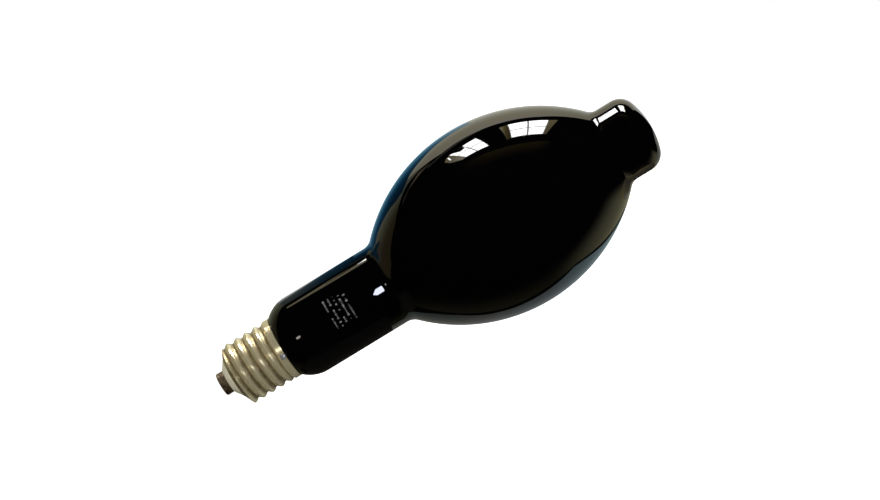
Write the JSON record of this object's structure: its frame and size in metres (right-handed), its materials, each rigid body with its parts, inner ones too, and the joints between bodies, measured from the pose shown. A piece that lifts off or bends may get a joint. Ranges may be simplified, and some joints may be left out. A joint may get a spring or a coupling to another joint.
{
  "type": "uv discharge lamp",
  "caption": "Elliptical black glass ultraviolet discharge lamp with a tubular neck, end nipple and large metal screw cap.",
  "frame": {"origin": "on the lamp's axis, at the flat face of the centre contact", "axes": "+Z along the lamp's axis from the cap to the nipple; the rim solder lies 76 degrees from +X towards -Y"},
  "size_m": [0.1174, 0.1174, 0.3005],
  "materials": {
    "black_ultraviolet_pass_glass": "blown, fire-polished glass so dark that it passes no visible light",
    "nickel_plated_brass": "rolled brass sheet under a thin, warm, slightly tarnished nickel plate",
    "base_glass": "pressed opaque pale glass",
    "contact_brass": "brass darkened by heat and handling",
    "solder": "dull grey solder with dark flux around it",
    "nickel_wire": "plain drawn wire",
    "cement": "matt baked capping cement"
  },
  "bodies": {
    "root": {"glass_envelope": "black_ultraviolet_pass_glass", "screw_shell": "nickel_plated_brass", "cap_insulator": "base_glass", "centre_contact": "contact_brass", "contact_solder": "solder", "rim_solder": "solder", "side_lead_wire": "nickel_wire", "centre_lead_wire": "nickel_wire", "capping_cement": "cement"}
  },
  "joints": []
}
